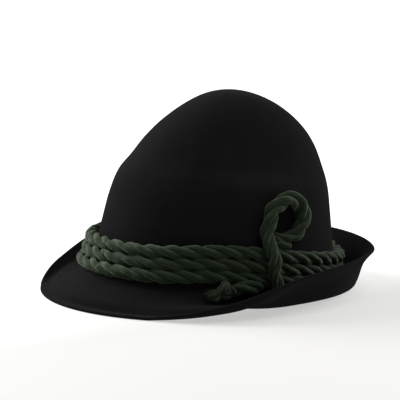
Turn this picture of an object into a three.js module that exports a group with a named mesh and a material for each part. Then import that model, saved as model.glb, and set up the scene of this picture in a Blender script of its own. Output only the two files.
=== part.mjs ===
// Tyrolean hat: a black wool felt crown and brim in one piece, with a thick dark green
// twisted wool cord wound three times round the crown, an upright eye in the cord on the
// wearer's left, and the cord's short end lying forward on the brim with a knot and a fray.
// Millimetres, +Z up. The front of the hat is at -Y, the wearer's left at +X, and the hat
// stands on the surface z = 0 with its outline centred on the origin.

import * as THREE from 'three';
import { mergeVertices } from 'three/addons/utils/BufferGeometryUtils.js';

// Felt: crown
const crownLength = 206;        // outside, front to back, where the cord starts
const crownWidth = 167;         // outside, side to side, where the cord starts
const hatHeight = 158;          // surface to the top of the crown
const feltThickness = 2.3;
const bandTilt = 5.5;           // degrees that the crown's foot and the cord rise to the front
const frontDrop = 1.5;          // fall of the crown's foot round the front, below that plane
const frontSqueeze = 0.08;      // share by which the turns close up where the foot flares forward
const sideDent = 5;             // depth of the pinch on each side of the crown's front
const dentRise = [0.50, 0.61];  // shares of the crown's height over which the pinch deepens
const dentFade = [0.72, 0.98];  // and over which it fades out
const dentStart = [34, 62];     // degrees round from the front over which the pinch deepens
const dentEnd = [70, 130];      // and over which it fades out

// Felt: brim
const brimFront = 46;           // brim reach beyond the crown, seen from above
const brimSide = 41;
const brimBack = 24.5;
const brimUpturn = 36;          // height of the turned-up rim at the sides and back
const foldLift = 1.2;           // height of the fold off the surface at the sides
const rimEgg = 0.04;            // share by which the rim is narrower towards the front
const coneSag = 1.5;            // sag of the brim's plain cone, midway out
const wallShare = 0.44;         // height of the turned-up wall's guide point, as a share of the rim's
const lipShare = 0.76;          // and of the lip's

// Cord
const cordDiameter = 9.3;       // over the strands
const strandDepth = 0.55;       // half the depth of the groove between two strands
const strandLay = 48;           // length in which one strand goes once round the cord
const strandCount = 3;
const clearance = 0.36;         // between pieces that touch
const turnSink = 4.4;           // fall of the upper turns round the back, as the lowest slides outward
const sinkStart = [85, 140];    // degrees round from the front over which it deepens
const sinkFade = [145, 172];    // and over which most of it is taken back
const sinkKept = 0.35;          // share of it that is left at the back
const layDown = [115, 155];     // degrees over which the lowest comes down into the brim's gutter
const eyeWidth = 34;            // of the eye's centre line, along the brim
const eyeHeight = 29;           // of the eye's centre line, upright
const eyeAngle = 86.5;          // degrees round from the front to the eye's middle
const tailLength = 20;          // cord from the leg forward to the knot
const knotDiameter = 13.5;
const frayLength = 11;
const frayWidth = 13;
const frayNeck = 0.42;          // its width at the knot, as a share of its end's
const frayFlat = 0.34;          // its end's thickness, as a share of its width
const frayFall = -0.27;         // slope of the frayed end down to the brim
const besideShare = 0.33;       // share of its diameter by which the end sinks between turns and brim

// Mesh fineness
const sectors = 48;             // round the hat
const crownSteps = 2;           // rings between two rows of the crown's table
const brimRings = 13;
const cordSides = 9;
const turnSteps = 78;           // sections in one turn of cord
const cordStep = 6.5;           // spacing of the sections in the eye and the end

const degrees = Math.PI / 180;
const cordRadius = cordDiameter / 2;
const cordPitch = cordDiameter + clearance;
const seat = cordRadius + clearance;   // cord centre line to the face that it lies on

// Crown sections from its foot to its top, as shares: height of the crown's height, length
// and width of the crown at the cord, shift to the back of half the crown's length.
const crownSections = [
  { height: 0.00, length: 1.050, width: 1.025, shift: -0.048 },
  { height: 0.05, length: 1.030, width: 1.010, shift: -0.028 },
  { height: 0.11, length: 1.010, width: 1.002, shift: -0.008 },
  { height: 0.22, length: 0.980, width: 0.987, shift: 0.012 },
  { height: 0.39, length: 0.928, width: 0.960, shift: 0.030 },
  { height: 0.52, length: 0.868, width: 0.925, shift: 0.056 },
  { height: 0.62, length: 0.805, width: 0.815, shift: 0.096 },
  { height: 0.73, length: 0.718, width: 0.697, shift: 0.116 },
  { height: 0.83, length: 0.586, width: 0.558, shift: 0.117 },
  { height: 0.92, length: 0.400, width: 0.378, shift: 0.105 },
  { height: 0.98, length: 0.198, width: 0.188, shift: 0.088 },
  { height: 1.00, length: 0.000, width: 0.000, shift: 0.082 },
];
// How the cord strays from lying level on the crown's foot, as a share of its diameter, at
// even angles from the front round by the wearer's left: it is drawn up in front of its leg.
const cordStray = [
  { rise: 0.00 }, { rise: 0.06 }, { rise: 0.42 }, { rise: 0.06 }, { rise: 0.00 }, { rise: 0.00 },
  { rise: 0.00 }, { rise: 0.00 }, { rise: 0.00 }, { rise: 0.00 }, { rise: -0.05 }, { rise: -0.03 },
];
const breakHeight = 0.52;       // share of the crown's height where its side turns inward

// Brim sections round one side, from the front to the back. rim: height of the rim, as a
// share of the upturn. fold: how far the brim dips to the surface before it turns up, from 0,
// a plain cone, to 1. lift: height of the fold off the surface, as a share of foldLift. The
// rest are shares of the reach, from the crown to the rim.
const brimSections = [
  { angle: 0, rim: 0.00, fold: 0.00, lift: 0.0, gutter: 0.36, heel: 0.56, wall: 0.70, lip: 0.82 },
  { angle: 30, rim: 0.00, fold: 0.10, lift: 0.0, gutter: 0.36, heel: 0.58, wall: 0.72, lip: 0.84 },
  { angle: 60, rim: 0.33, fold: 0.50, lift: 0.1, gutter: 0.34, heel: 0.50, wall: 0.70, lip: 0.87 },
  { angle: 90, rim: 0.87, fold: 1.00, lift: 1.0, gutter: 0.24, heel: 0.36, wall: 0.56, lip: 0.80 },
  { angle: 120, rim: 1.00, fold: 1.00, lift: 0.6, gutter: 0.30, heel: 0.47, wall: 0.62, lip: 0.79 },
  { angle: 150, rim: 0.96, fold: 1.00, lift: 0.0, gutter: 0.37, heel: 0.60, wall: 0.71, lip: 0.81 },
  { angle: 180, rim: 0.97, fold: 1.00, lift: 0.0, gutter: 0.40, heel: 0.66, wall: 0.77, lip: 0.85 },
];

const mix = (a, b, t) => a + (b - a) * t;
const ramp = (low, high, x) => {
  const t = Math.min(1, Math.max(0, (x - low) / (high - low)));
  return t * t * (3 - 2 * t);
};
const tiltSlope = Math.tan(bandTilt * degrees);
const halfLength = crownLength / 2;
const halfWidth = crownWidth / 2;
const crownCentreY = (brimFront - brimBack) / 2;
const rimHalfLength = halfLength + (brimFront + brimBack) / 2;
const rimHalfWidth = halfWidth + brimSide;
// At the back the crown's foot lies in the gutter, so the tilt sets its middle height.
const footHeight = feltThickness + tiltSlope * halfLength;

// Degrees round from the front, the same on both sides.
const fromFront = (theta) => Math.abs(Math.atan2(Math.sin(theta), Math.cos(theta))) / degrees;

// How far the crown's foot lies below its plane, round the front.
const frontFall = (theta) => frontDrop * Math.max(0, Math.cos(theta)) ** 2;

// Smooth curve through rows of numbers: a Catmull-Rom spline in the row number.
function throughRows(rows, names, position) {
  const last = rows.length - 1;
  const index = Math.min(last - 1, Math.max(0, Math.floor(position)));
  const t = position - index;
  const result = {};
  for (const name of names) {
    const p1 = rows[index][name];
    const p2 = rows[index + 1][name];
    const p0 = index > 0 ? rows[index - 1][name] : 2 * p1 - p2;
    const p3 = index + 2 <= last ? rows[index + 2][name] : 2 * p2 - p1;
    result[name] = 0.5 * (2 * p1 + (p2 - p0) * t + (2 * p0 - 5 * p1 + 4 * p2 - p3) * t * t
      + (3 * p1 - p0 - 3 * p2 + p3) * t * t * t);
  }
  return result;
}

// The brim's table at an angle: a cubic between two rows that never overshoots them.
function brimSection(theta) {
  const turned = fromFront(theta);
  const spacing = brimSections[1].angle;
  const index = Math.min(brimSections.length - 2, Math.floor(turned / spacing));
  const t = turned / spacing - index;
  const section = {};
  for (const name of ['rim', 'fold', 'lift', 'gutter', 'heel', 'wall', 'lip']) {
    const slope = (k) => {
      if (k <= 0 || k >= brimSections.length - 1) return 0;
      const before = brimSections[k][name] - brimSections[k - 1][name];
      const after = brimSections[k + 1][name] - brimSections[k][name];
      return before * after > 0 ? 2 * before * after / (before + after) : 0;
    };
    const a = brimSections[index][name];
    const b = brimSections[index + 1][name];
    const t2 = t * t;
    const t3 = t2 * t;
    section[name] = (2 * t3 - 3 * t2 + 1) * a + (t3 - 2 * t2 + t) * slope(index)
      + (3 * t2 - 2 * t3) * b + (t3 - t2) * slope(index + 1);
  }
  return section;
}

// A point of the crown's outer face: row is a position in the crown's table, theta the
// angle round from the front towards the wearer's left.
function crownPoint(row, theta) {
  const s = throughRows(crownSections, ['height', 'length', 'width', 'shift'], row);
  // The dent pinches the quarter between the front and the side, just above the break.
  const around = fromFront(theta);
  const pinch = sideDent * ramp(...dentRise, s.height) * (1 - ramp(...dentFade, s.height))
    * ramp(...dentStart, around) * (1 - ramp(...dentEnd, around));
  const x = (halfWidth * s.width - pinch) * Math.sin(theta);
  const y = crownCentreY + halfLength * s.shift - (halfLength * s.length - pinch) * Math.cos(theta);
  const kept = 1 - ramp(breakHeight, 1, s.height);
  const z = mix(footHeight, hatHeight, s.height)
    - kept * (tiltSlope * (y - crownCentreY) + frontFall(theta));
  return new THREE.Vector3(x, y, z);
}

// A point of the brim's upper face, share 0 at the crown's foot and 1 at the rim.
function brimPoint(share, theta) {
  const s = brimSection(theta);
  const foot = crownPoint(0, theta);
  const rim = new THREE.Vector3(
    rimHalfWidth * Math.sin(theta) * (1 - rimEgg * Math.cos(theta)),
    -rimHalfLength * Math.cos(theta),
    feltThickness + (brimUpturn - feltThickness) * s.rim);
  const pressed = 0.3 * feltThickness;   // below the felt's thickness, so that the curve is pressed flat
  const dip = mix(pressed, feltThickness + foldLift, s.lift);
  const cone = (reach) => mix(foot.z, rim.z, reach) - coneSag * Math.sin(Math.PI * reach);
  const lipHeight = mix(feltThickness, rim.z, lipShare);
  const wallHeight = mix(feltThickness, rim.z, wallShare);
  const guide = [
    [0, foot.z],
    [s.gutter * 0.45, mix(cone(s.gutter * 0.45), mix(foot.z, dip, 0.7), s.fold)],
    [s.gutter, mix(cone(s.gutter), dip, s.fold)],
    [s.heel, mix(cone(s.heel), dip, s.fold)],
    [s.wall, mix(cone(s.wall), wallHeight, s.fold)],
    [s.lip, mix(pressed, lipHeight, s.fold)],
    [1, mix(pressed, rim.z, ramp(0, 0.03, s.rim))],
  ];
  // Uniform cubic B-spline over the guide points, pinned at both ends.
  const knots = [guide[0], guide[0], ...guide, guide[6], guide[6]];
  const spans = knots.length - 3;
  const position = Math.min(spans - 1e-9, share * spans);
  const k = Math.floor(position);
  const t = position - k;
  const weights = [(1 - t) ** 3 / 6, (3 * t ** 3 - 6 * t ** 2 + 4) / 6,
    (-3 * t ** 3 + 3 * t ** 2 + 3 * t + 1) / 6, t ** 3 / 6];
  let reach = 0;
  let z = 0;
  for (let i = 0; i < 4; i += 1) {
    reach += weights[i] * knots[k + i][0];
    z += weights[i] * knots[k + i][1];
  }
  return new THREE.Vector3(mix(foot.x, rim.x, reach), mix(foot.y, rim.y, reach),
    Math.max(feltThickness, z));
}

// Rings of the felt's outer face, from below the top of the crown out to the rim.
function feltRings() {
  const rings = [];
  const rowCount = crownSections.length - 1;
  const around = [...Array(sectors).keys()].map((i) => i / sectors * 2 * Math.PI);
  for (let i = rowCount * crownSteps - 1; i >= 0; i -= 1) {
    rings.push(around.map((theta) => crownPoint(i / crownSteps, theta)));
  }
  for (let j = 1; j <= brimRings; j += 1) {
    rings.push(around.map((theta) => brimPoint(j / brimRings, theta)));
  }
  return rings;
}

// One closed wall: the outer face, the same face set back along its normals by the felt's
// thickness and kept above the surface, and the rim's edge between them.
function feltGeometry() {
  const rings = feltRings();
  const top = crownPoint(crownSections.length - 1, 0);
  const last = rings.length - 1;
  const inner = rings.map((ring, j) => ring.map((point, i) => {
    const up = j > 0 ? rings[j - 1][i] : top;
    const down = j < last ? rings[j + 1][i] : point;
    const left = ring[(i + sectors - 1) % sectors];
    const right = ring[(i + 1) % sectors];
    const along = new THREE.Vector3().subVectors(down, up);
    const across = new THREE.Vector3().subVectors(right, left);
    const normal = new THREE.Vector3().crossVectors(along, across).normalize();
    const set = point.clone().addScaledVector(normal, -feltThickness);
    set.z = Math.max(0, set.z);
    return set;
  }));
  const positions = [top, top.clone().setZ(top.z - feltThickness), ...rings.flat(), ...inner.flat()];
  const outerAt = (j, i) => 2 + j * sectors + (i % sectors);
  const innerAt = (j, i) => 2 + (rings.length + j) * sectors + (i % sectors);
  const faces = [];
  for (let i = 0; i < sectors; i += 1) {
    faces.push(0, outerAt(0, i), outerAt(0, i + 1));
    faces.push(1, innerAt(0, i + 1), innerAt(0, i));
    for (let j = 0; j < last; j += 1) {
      faces.push(outerAt(j, i), outerAt(j + 1, i), outerAt(j + 1, i + 1));
      faces.push(outerAt(j, i), outerAt(j + 1, i + 1), outerAt(j, i + 1));
      faces.push(innerAt(j, i), innerAt(j + 1, i + 1), innerAt(j + 1, i));
      faces.push(innerAt(j, i), innerAt(j, i + 1), innerAt(j + 1, i + 1));
    }
    faces.push(outerAt(last, i), innerAt(last, i), innerAt(last, i + 1));
    faces.push(outerAt(last, i), innerAt(last, i + 1), outerAt(last, i + 1));
  }
  return meshGeometry(positions, faces);
}

function meshGeometry(points, faces) {
  const geometry = new THREE.BufferGeometry();
  geometry.setAttribute('position', new THREE.Float32BufferAttribute(
    points.flatMap((p) => [p.x, p.y, p.z]), 3));
  geometry.setIndex(faces);
  geometry.computeVertexNormals();
  return geometry;
}

// Outline of the twisted cord at one section: round, with a lobe for each strand.
function cordRadiusAt(angle, size) {
  return size * (cordRadius - strandDepth * (1 - Math.cos(strandCount * angle)));
}

// A cord swept along sections, each with a centre, an outward and an upward direction and
// the distance along the cord. A closed cord joins its last section to its first.
function cordGeometry(sections, closed) {
  const points = [];
  const faces = [];
  const count = sections.length;
  for (const s of sections) {
    const twist = -2 * Math.PI * s.turns;
    for (let k = 0; k < cordSides; k += 1) {
      const angle = k / cordSides * 2 * Math.PI;
      const radius = cordRadiusAt(angle - twist, s.size ?? 1);
      points.push(s.centre.clone()
        .addScaledVector(s.outward, radius * Math.cos(angle))
        .addScaledVector(s.upward, radius * Math.sin(angle)));
    }
  }
  const at = (i, k) => (i % count) * cordSides + (k % cordSides);
  for (let i = 0; i < (closed ? count : count - 1); i += 1) {
    for (let k = 0; k < cordSides; k += 1) {
      faces.push(at(i, k), at(i + 1, k), at(i + 1, k + 1));
      faces.push(at(i, k), at(i + 1, k + 1), at(i, k + 1));
    }
  }
  if (!closed) {
    const first = points.push(sections[0].centre.clone()) - 1;
    const end = points.push(sections[count - 1].centre.clone()) - 1;
    for (let k = 0; k < cordSides; k += 1) {
      faces.push(first, at(0, k), at(0, k + 1));
      faces.push(end, at(count - 1, k + 1), at(count - 1, k));
    }
  }
  return meshGeometry(points, faces);
}

// Rise from one turn's centre line to the next, before the upper ones sink at the back.
const pitchAt = (theta) => cordPitch * (1 - frontSqueeze * Math.max(0, Math.cos(theta)) ** 2);

// Height of a turn's centre line at a place: turn 0 is the lowest, lying on the brim's foot.
function turnHeight(turn, theta, y) {
  const count = cordStray.length;
  const place = (theta / (2 * Math.PI)) * count;
  const first = Math.floor(place);
  const rows = [-1, 0, 1, 2].map((k) => cordStray[(first + k + count) % count]);
  const stray = throughRows(rows, ['rise'], 1 + place - first).rise * cordDiameter;
  const level = footHeight + seat - tiltSlope * (y - crownCentreY) - frontFall(theta) + stray;
  const around = fromFront(theta);
  if (turn === 0) return mix(level, feltThickness + seat + clearance, ramp(...layDown, around));
  const sink = turnSink * ramp(...sinkStart, around) * mix(1, sinkKept, ramp(...sinkFade, around));
  return level + turn * pitchAt(theta) - sink;
}

// Gap from the crown to a turn's centre line: the lowest gives way outward to the next one
// that sinks on to it, and keeps one pitch from it.
function turnGap(turn, theta, y) {
  if (turn > 0) return seat;
  const sunk = Math.max(0, pitchAt(theta) - turnHeight(1, theta, y) + turnHeight(0, theta, y));
  return seat + Math.sqrt(cordPitch ** 2 - (cordPitch - sunk) ** 2);
}

// The crown's outer face at a height, found by halving, with its outward direction.
function crownAt(theta, z) {
  let low = 0;
  let high = crownSections.length - 1;
  for (let i = 0; i < 40; i += 1) {
    const middle = (low + high) / 2;
    if (crownPoint(middle, theta).z < z) low = middle;
    else high = middle;
  }
  const step = 0.01;
  const point = crownPoint(low, theta);
  const across = new THREE.Vector3().subVectors(crownPoint(low, theta + step), crownPoint(low, theta - step));
  const along = new THREE.Vector3().subVectors(crownPoint(low + step, theta), crownPoint(low, theta));
  return { point, normal: new THREE.Vector3().crossVectors(across, along).normalize() };
}

// One turn of cord, a closed ring on the crown's outer face.
function turnGeometry(turn) {
  const sections = [];
  for (let i = 0; i < turnSteps; i += 1) {
    const theta = i / turnSteps * 2 * Math.PI;
    const face = crownAt(theta, turnHeight(turn, theta, crownPoint(0, theta).y));
    const outward = face.normal.clone().setZ(0).normalize();
    const centre = face.point.clone().addScaledVector(outward, turnGap(turn, theta, face.point.y));
    centre.z = turnHeight(turn, theta, centre.y);
    sections.push({ centre, outward, upward: new THREE.Vector3(0, 0, 1) });
  }
  let length = 0;
  sections.forEach((s, i) => { length += s.centre.distanceTo(sections[(i + 1) % turnSteps].centre); });
  const turns = Math.round(length / strandLay * strandCount) / strandCount;
  sections.forEach((s, i) => { s.turns = turns * i / turnSteps; });
  return cordGeometry(sections, true);
}

// Sections along an open centre line, with directions carried on without twist.
function openSections(points, sizes = () => 1) {
  const line = new THREE.CatmullRomCurve3(points, false, 'centripetal');
  const length = line.getLength();
  const steps = Math.round(length / cordStep);
  const frames = line.computeFrenetFrames(steps, false);
  return [...Array(steps + 1).keys()].map((i) => ({
    centre: line.getPointAt(i / steps),
    outward: frames.binormals[i],
    upward: frames.normals[i],
    turns: i / steps * length / strandLay,
    size: sizes(i / steps),
  }));
}

// A place beside the crown: height z, and gap from the crown's outer face to the centre line.
function besideCrown(angle, z, gap) {
  const { point, normal } = crownAt(angle * degrees, z);
  return point.clone().addScaledVector(normal.setZ(0).normalize(), gap);
}

const overTurns = 2 * cordRadius + seat + 2 * clearance;   // centre line of a cord laid over a turn
const degreesPerMm = 1 / (halfLength * degrees);           // round the crown at its side
const topTurn = turnHeight(2, eyeAngle * degrees, crownCentreY);
const eyeFoot = 1.6 * cordPitch;                           // lowest of the eye's centre line, over the top turn's
const eyeMiddle = topTurn + eyeFoot + eyeHeight / 2;

// A place beside the crown's left side: along is the distance behind the eye's middle.
const besideEye = (along, z, gap) => besideCrown(eyeAngle + along * degreesPerMm, z, gap);

// The leg under the eye: along in eye widths behind its middle, rise in pitches over the top
// turn, lift 0 against the crown to 1 over the turns.
const legSections = [
  { along: -0.58, rise: 1.84, lift: 0.30 },
  { along: -0.50, rise: 0.40, lift: 1.00 },
  { along: -0.44, rise: -1.00, lift: 1.00 },
  { along: -0.26, rise: -2.30, lift: 1.00 },
];
const eyeStart = -38;      // degrees round the eye, from its back, where its arc begins
const eyeEnd = 160;
const eyeSteps = 5;
const eyeGap = seat + 0.4 * cordRadius;

// The eye and its leg: the cord's end rises from the top turn, goes over in an upright eye
// against the crown and comes down over the three turns to the brim.
function eyePoints() {
  const points = [besideEye(0.02 * eyeWidth, topTurn + cordPitch, seat + 0.3 * cordRadius)];
  for (let i = 0; i <= eyeSteps; i += 1) {
    const around = mix(eyeStart, eyeEnd, i / eyeSteps) * degrees;
    points.push(besideEye(eyeWidth / 2 * Math.cos(around),
      eyeMiddle + eyeHeight / 2 * Math.sin(around), eyeGap));
  }
  for (const { along, rise, lift } of legSections) {
    points.push(besideEye(along * eyeWidth, topTurn + rise * cordPitch, mix(seat, overTurns, lift)));
  }
  return points;
}

// The cord's end, from the leg's foot forward along the lowest turn, down on to the brim.
const tailStart = -0.32 * eyeWidth - cordDiameter - clearance;
const besideTurns = overTurns - besideShare * cordDiameter;
const tailSections = [
  { share: 0.0, drop: 0.30 },   // share of the end's length, and diameters below the lowest turn
  { share: 0.5, drop: 0.40 },
  { share: 1.0, drop: 0.65 },
];
function tailPoints() {
  return tailSections.map(({ share, drop }) => {
    const along = tailStart - share * tailLength;
    const angle = eyeAngle + along * degreesPerMm;
    const height = turnHeight(0, angle * degrees, crownCentreY + along);
    return besideCrown(angle, height - drop * cordDiameter, besideTurns);
  });
}

// The knot: a ball with the bulges of the strands that are drawn round it.
function knotGeometry(centre, forward) {
  const radius = knotDiameter / 2;
  const grooveDepth = 0.07;   // share of the radius, half the depth between two bulges
  const ball = new THREE.SphereGeometry(radius, 14, 9);
  ball.deleteAttribute('normal');
  ball.deleteAttribute('uv');
  const merged = mergeVertices(ball, 1e-4);
  const turn = new THREE.Quaternion().setFromUnitVectors(new THREE.Vector3(0, 1, 0), forward);
  const place = merged.attributes.position;
  for (let i = 0; i < place.count; i += 1) {
    const p = new THREE.Vector3().fromBufferAttribute(place, i);
    const around = Math.atan2(p.z, p.x);
    const groove = 1 - Math.cos(strandCount * around + 4 * p.y / radius);
    const bulge = 1 - grooveDepth * groove * (1 - (p.y / radius) ** 2);
    p.multiplyScalar(bulge).applyQuaternion(turn).add(centre);
    place.setXYZ(i, p.x, p.y, p.z);
  }
  merged.computeVertexNormals();
  return merged;
}

// The frayed end: the strands spread from the knot into a flat fan of five locks.
function frayGeometry(start, forward) {
  const sideways = new THREE.Vector3().crossVectors(new THREE.Vector3(0, 0, 1), forward).normalize();
  const upward = new THREE.Vector3().crossVectors(forward, sideways).normalize();
  const steps = 6;
  const sides = 20;
  const locks = 5;
  const points = [];
  const faces = [];
  for (let i = 0; i <= steps; i += 1) {
    const t = i / steps;
    const wide = mix(frayNeck, 1, Math.sqrt(t)) * frayWidth / 2;
    const thick = mix(frayNeck, frayFlat, t) * frayWidth / 2;
    for (let k = 0; k < sides; k += 1) {
      const angle = k / sides * 2 * Math.PI;
      const lock = 1 - 0.10 * t * (1 - Math.cos(locks * angle));
      const reach = frayLength * t * (1 - 0.06 * t * (1 - Math.cos(locks * angle + 1)));
      points.push(start.clone().addScaledVector(forward, reach)
        .addScaledVector(sideways, wide * lock * Math.cos(angle))
        .addScaledVector(upward, thick * lock * Math.sin(angle)));
    }
  }
  const back = points.push(start.clone()) - 1;
  const front = points.push(start.clone().addScaledVector(forward, 0.9 * frayLength)) - 1;
  const at = (i, k) => i * sides + (k % sides);
  for (let k = 0; k < sides; k += 1) {
    for (let i = 0; i < steps; i += 1) {
      faces.push(at(i, k), at(i + 1, k + 1), at(i + 1, k));
      faces.push(at(i, k), at(i, k + 1), at(i + 1, k + 1));
    }
    faces.push(back, at(0, k + 1), at(0, k));
    faces.push(front, at(steps, k), at(steps, k + 1));
  }
  return meshGeometry(points, faces);
}

const materials = {
  felt: () => new THREE.MeshStandardMaterial({ color: 0x17171a, roughness: 0.95, metalness: 0 }),
  cord: () => new THREE.MeshStandardMaterial({ color: 0x1d3a2a, roughness: 0.9, metalness: 0 }),
};

function named(name, geometry, material) {
  const mesh = new THREE.Mesh(geometry, material());
  mesh.name = name;
  return mesh;
}

const hat = new THREE.Group();
const felt = named('felt_body', feltGeometry(), materials.felt);
const outline = new THREE.Box3().setFromObject(felt).getCenter(new THREE.Vector3());
hat.position.set(-outline.x, -outline.y, 0);
hat.add(felt);
['cord_turn_lower', 'cord_turn_middle', 'cord_turn_upper'].forEach((name, turn) => {
  hat.add(named(name, turnGeometry(turn), materials.cord));
});
hat.add(named('cord_loop', cordGeometry(openSections(eyePoints()), false), materials.cord));

const tail = tailPoints();
const tailEnd = tail[tail.length - 1];
const tailWay = new THREE.Vector3().subVectors(tailEnd, tail[tail.length - 2]).normalize();
const knotCentre = tailEnd.clone().addScaledVector(tailWay, knotDiameter / 2 + clearance);
const frayWay = tailWay.clone().setZ(frayFall).normalize();
hat.add(named('cord_tail', cordGeometry(openSections(tail), false), materials.cord));
hat.add(named('cord_knot', knotGeometry(knotCentre, tailWay), materials.cord));
hat.add(named('cord_fray', frayGeometry(
  knotCentre.clone().addScaledVector(frayWay, knotDiameter / 2 + clearance), frayWay), materials.cord));

export default hat;
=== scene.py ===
"""Black felt hat with a dark green twisted wool cord, dressed over its fixed CAD frame.

Metres, +Z up. The front of the hat is at -Y and the wearer's left at +X.
"""

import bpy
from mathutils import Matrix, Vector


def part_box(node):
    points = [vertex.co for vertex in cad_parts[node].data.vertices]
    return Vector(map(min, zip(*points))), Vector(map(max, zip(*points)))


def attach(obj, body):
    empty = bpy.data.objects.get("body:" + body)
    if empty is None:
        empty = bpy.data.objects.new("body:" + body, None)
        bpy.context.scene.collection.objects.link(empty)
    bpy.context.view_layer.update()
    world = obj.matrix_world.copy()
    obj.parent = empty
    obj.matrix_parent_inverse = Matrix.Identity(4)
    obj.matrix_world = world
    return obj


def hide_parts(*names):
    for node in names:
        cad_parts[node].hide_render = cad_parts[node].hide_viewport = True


bl_info = {
    "name": "Felt Hat with Wool Cord",
    "version": (1, 0, 0),
    "blender": (4, 5, 0),
    "location": "3D View > Sidebar > Hat",
    "description": "Builds the felt, the twisted wool cord and the stage over the CAD frame",
    "category": "Add Mesh",
}

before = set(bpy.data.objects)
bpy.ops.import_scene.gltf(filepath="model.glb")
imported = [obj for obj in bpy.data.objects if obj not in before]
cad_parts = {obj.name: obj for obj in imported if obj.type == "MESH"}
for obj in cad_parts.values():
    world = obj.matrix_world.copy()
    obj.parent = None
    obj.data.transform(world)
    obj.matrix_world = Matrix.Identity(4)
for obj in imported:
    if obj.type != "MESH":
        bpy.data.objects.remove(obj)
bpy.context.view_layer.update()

import bpy
import numpy as np
from bpy.props import FloatProperty, FloatVectorProperty, IntProperty, PointerProperty
from mathutils import Matrix, Vector

# Crown sections from its foot to its top, as shares: height of the crown's height, length
# and width of the crown at the cord, shift to the back of half the crown's length.
CROWN = np.array([
    (0.00, 1.050, 1.025, -0.048),
    (0.05, 1.030, 1.010, -0.028),
    (0.11, 1.010, 1.002, -0.008),
    (0.22, 0.980, 0.987, 0.012),
    (0.39, 0.928, 0.960, 0.030),
    (0.52, 0.868, 0.925, 0.056),
    (0.62, 0.805, 0.815, 0.096),
    (0.73, 0.718, 0.697, 0.116),
    (0.83, 0.586, 0.558, 0.117),
    (0.92, 0.400, 0.378, 0.105),
    (0.98, 0.198, 0.188, 0.088),
    (1.00, 0.000, 0.000, 0.082),
])
BREAK_HEIGHT = 0.52         # share of the crown's height where its side turns inward
DENT_RISE = (0.50, 0.61)    # shares of the crown's height over which the side dent deepens
DENT_FADE = (0.72, 0.98)    # and over which it fades out
DENT_START = (34, 62)       # degrees round from the front over which it deepens
DENT_END = (70, 130)        # and over which it fades out

# Brim sections every 30 degrees from the front to the back: rim height as a share of the
# upturn, fold from a plain cone to a full turn-up, lift of the fold off the surface as a
# share of the fold lift, and reach shares of its guide points.
BRIM = np.array([
    (0.00, 0.00, 0.0, 0.36, 0.56, 0.70, 0.82),
    (0.00, 0.10, 0.0, 0.36, 0.58, 0.72, 0.84),
    (0.33, 0.50, 0.1, 0.34, 0.50, 0.70, 0.87),
    (0.87, 1.00, 1.0, 0.24, 0.36, 0.56, 0.80),
    (1.00, 1.00, 0.6, 0.30, 0.47, 0.62, 0.79),
    (0.96, 1.00, 0.0, 0.37, 0.60, 0.71, 0.81),
    (0.97, 1.00, 0.0, 0.40, 0.66, 0.77, 0.85),
])

CONE_SAG = 0.0015           # sag of the brim's plain cone in front, midway out
WALL_SHARE = 0.44           # height of the turned-up wall's guide point, as a share of the rim's
LIP_SHARE = 0.76            # and of the lip's

# How the cord strays from lying level, as a share of its diameter, every 30 degrees.
STRAY = np.array([0.00, 0.06, 0.42, 0.06, 0.00, 0.00, 0.00, 0.00, 0.00, 0.00, -0.05, -0.03])
SINK_START = (85, 140)      # degrees round from the front over which the upper turns sink
SINK_FADE = (145, 172)      # and over which all but a share of it is taken back
SINK_KEPT = 0.35
LAY_DOWN = (115, 155)       # degrees over which the lowest turn comes down on to the brim
TURNS = ("wool_turn_lower", "wool_turn_middle", "wool_turn_upper")

STRAND_OFF = 0.51           # a strand's middle off the cord's, as a share of the cord's radius
STRAND_SIZE = 0.49          # and its own radius
STREAK_SIZE = 0.56          # radius at which the wool's streaks are spaced round a strand
RING_SIDES = 54             # points round a cord

# The eye's foot, which curls in behind the leg: along in eye widths, drop in eye heights.
EYE_FOOT = np.array([(-0.40, 0.44), (-0.16, 0.52), (0.16, 0.50)])
EYE_ARC = np.radians(np.array([-44, -8, 28, 64, 100, 136, 164]))
# The leg: along in eye widths, rise in pitches over the top turn, lift from 0 against the
# crown to 1 over the turns.
EYE_LEG = np.array([(-0.58, 1.84, 0.30), (-0.50, 0.40, 1.0), (-0.44, -1.00, 1.0), (-0.26, -2.30, 1.0)])
EYE_FULLNESS = (0.70, 0.86, 1.08, 1.20, 1.24, 1.22, 1.20, 1.14, 1.08, 1.02, 1.0, 0.97)
# The short stub beside the leg: along in eye widths, rise in pitches over the top turn.
EYE_STUB = np.array([(-0.52, 0.92), (-0.30, 1.00), (-0.08, 1.02), (0.15, 0.98)])
# The cord's end: share of its length, and diameters below the lowest turn.
TAIL = np.array([(0.0, 0.30), (0.5, 0.40), (1.0, 0.65)])
TAIL_FULLNESS = (0.9, 1.0, 1.0, 0.8)


def metres(name, description, default):
    """A length that a user may change, in metres."""
    return FloatProperty(name=name, description=description, default=default,
                         unit='LENGTH', subtype='DISTANCE')


def degrees(name, description, default):
    """An angle that a user may change, its default given in degrees."""
    return FloatProperty(name=name, description=description, default=np.radians(default),
                         unit='ROTATION', subtype='ANGLE')


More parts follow.
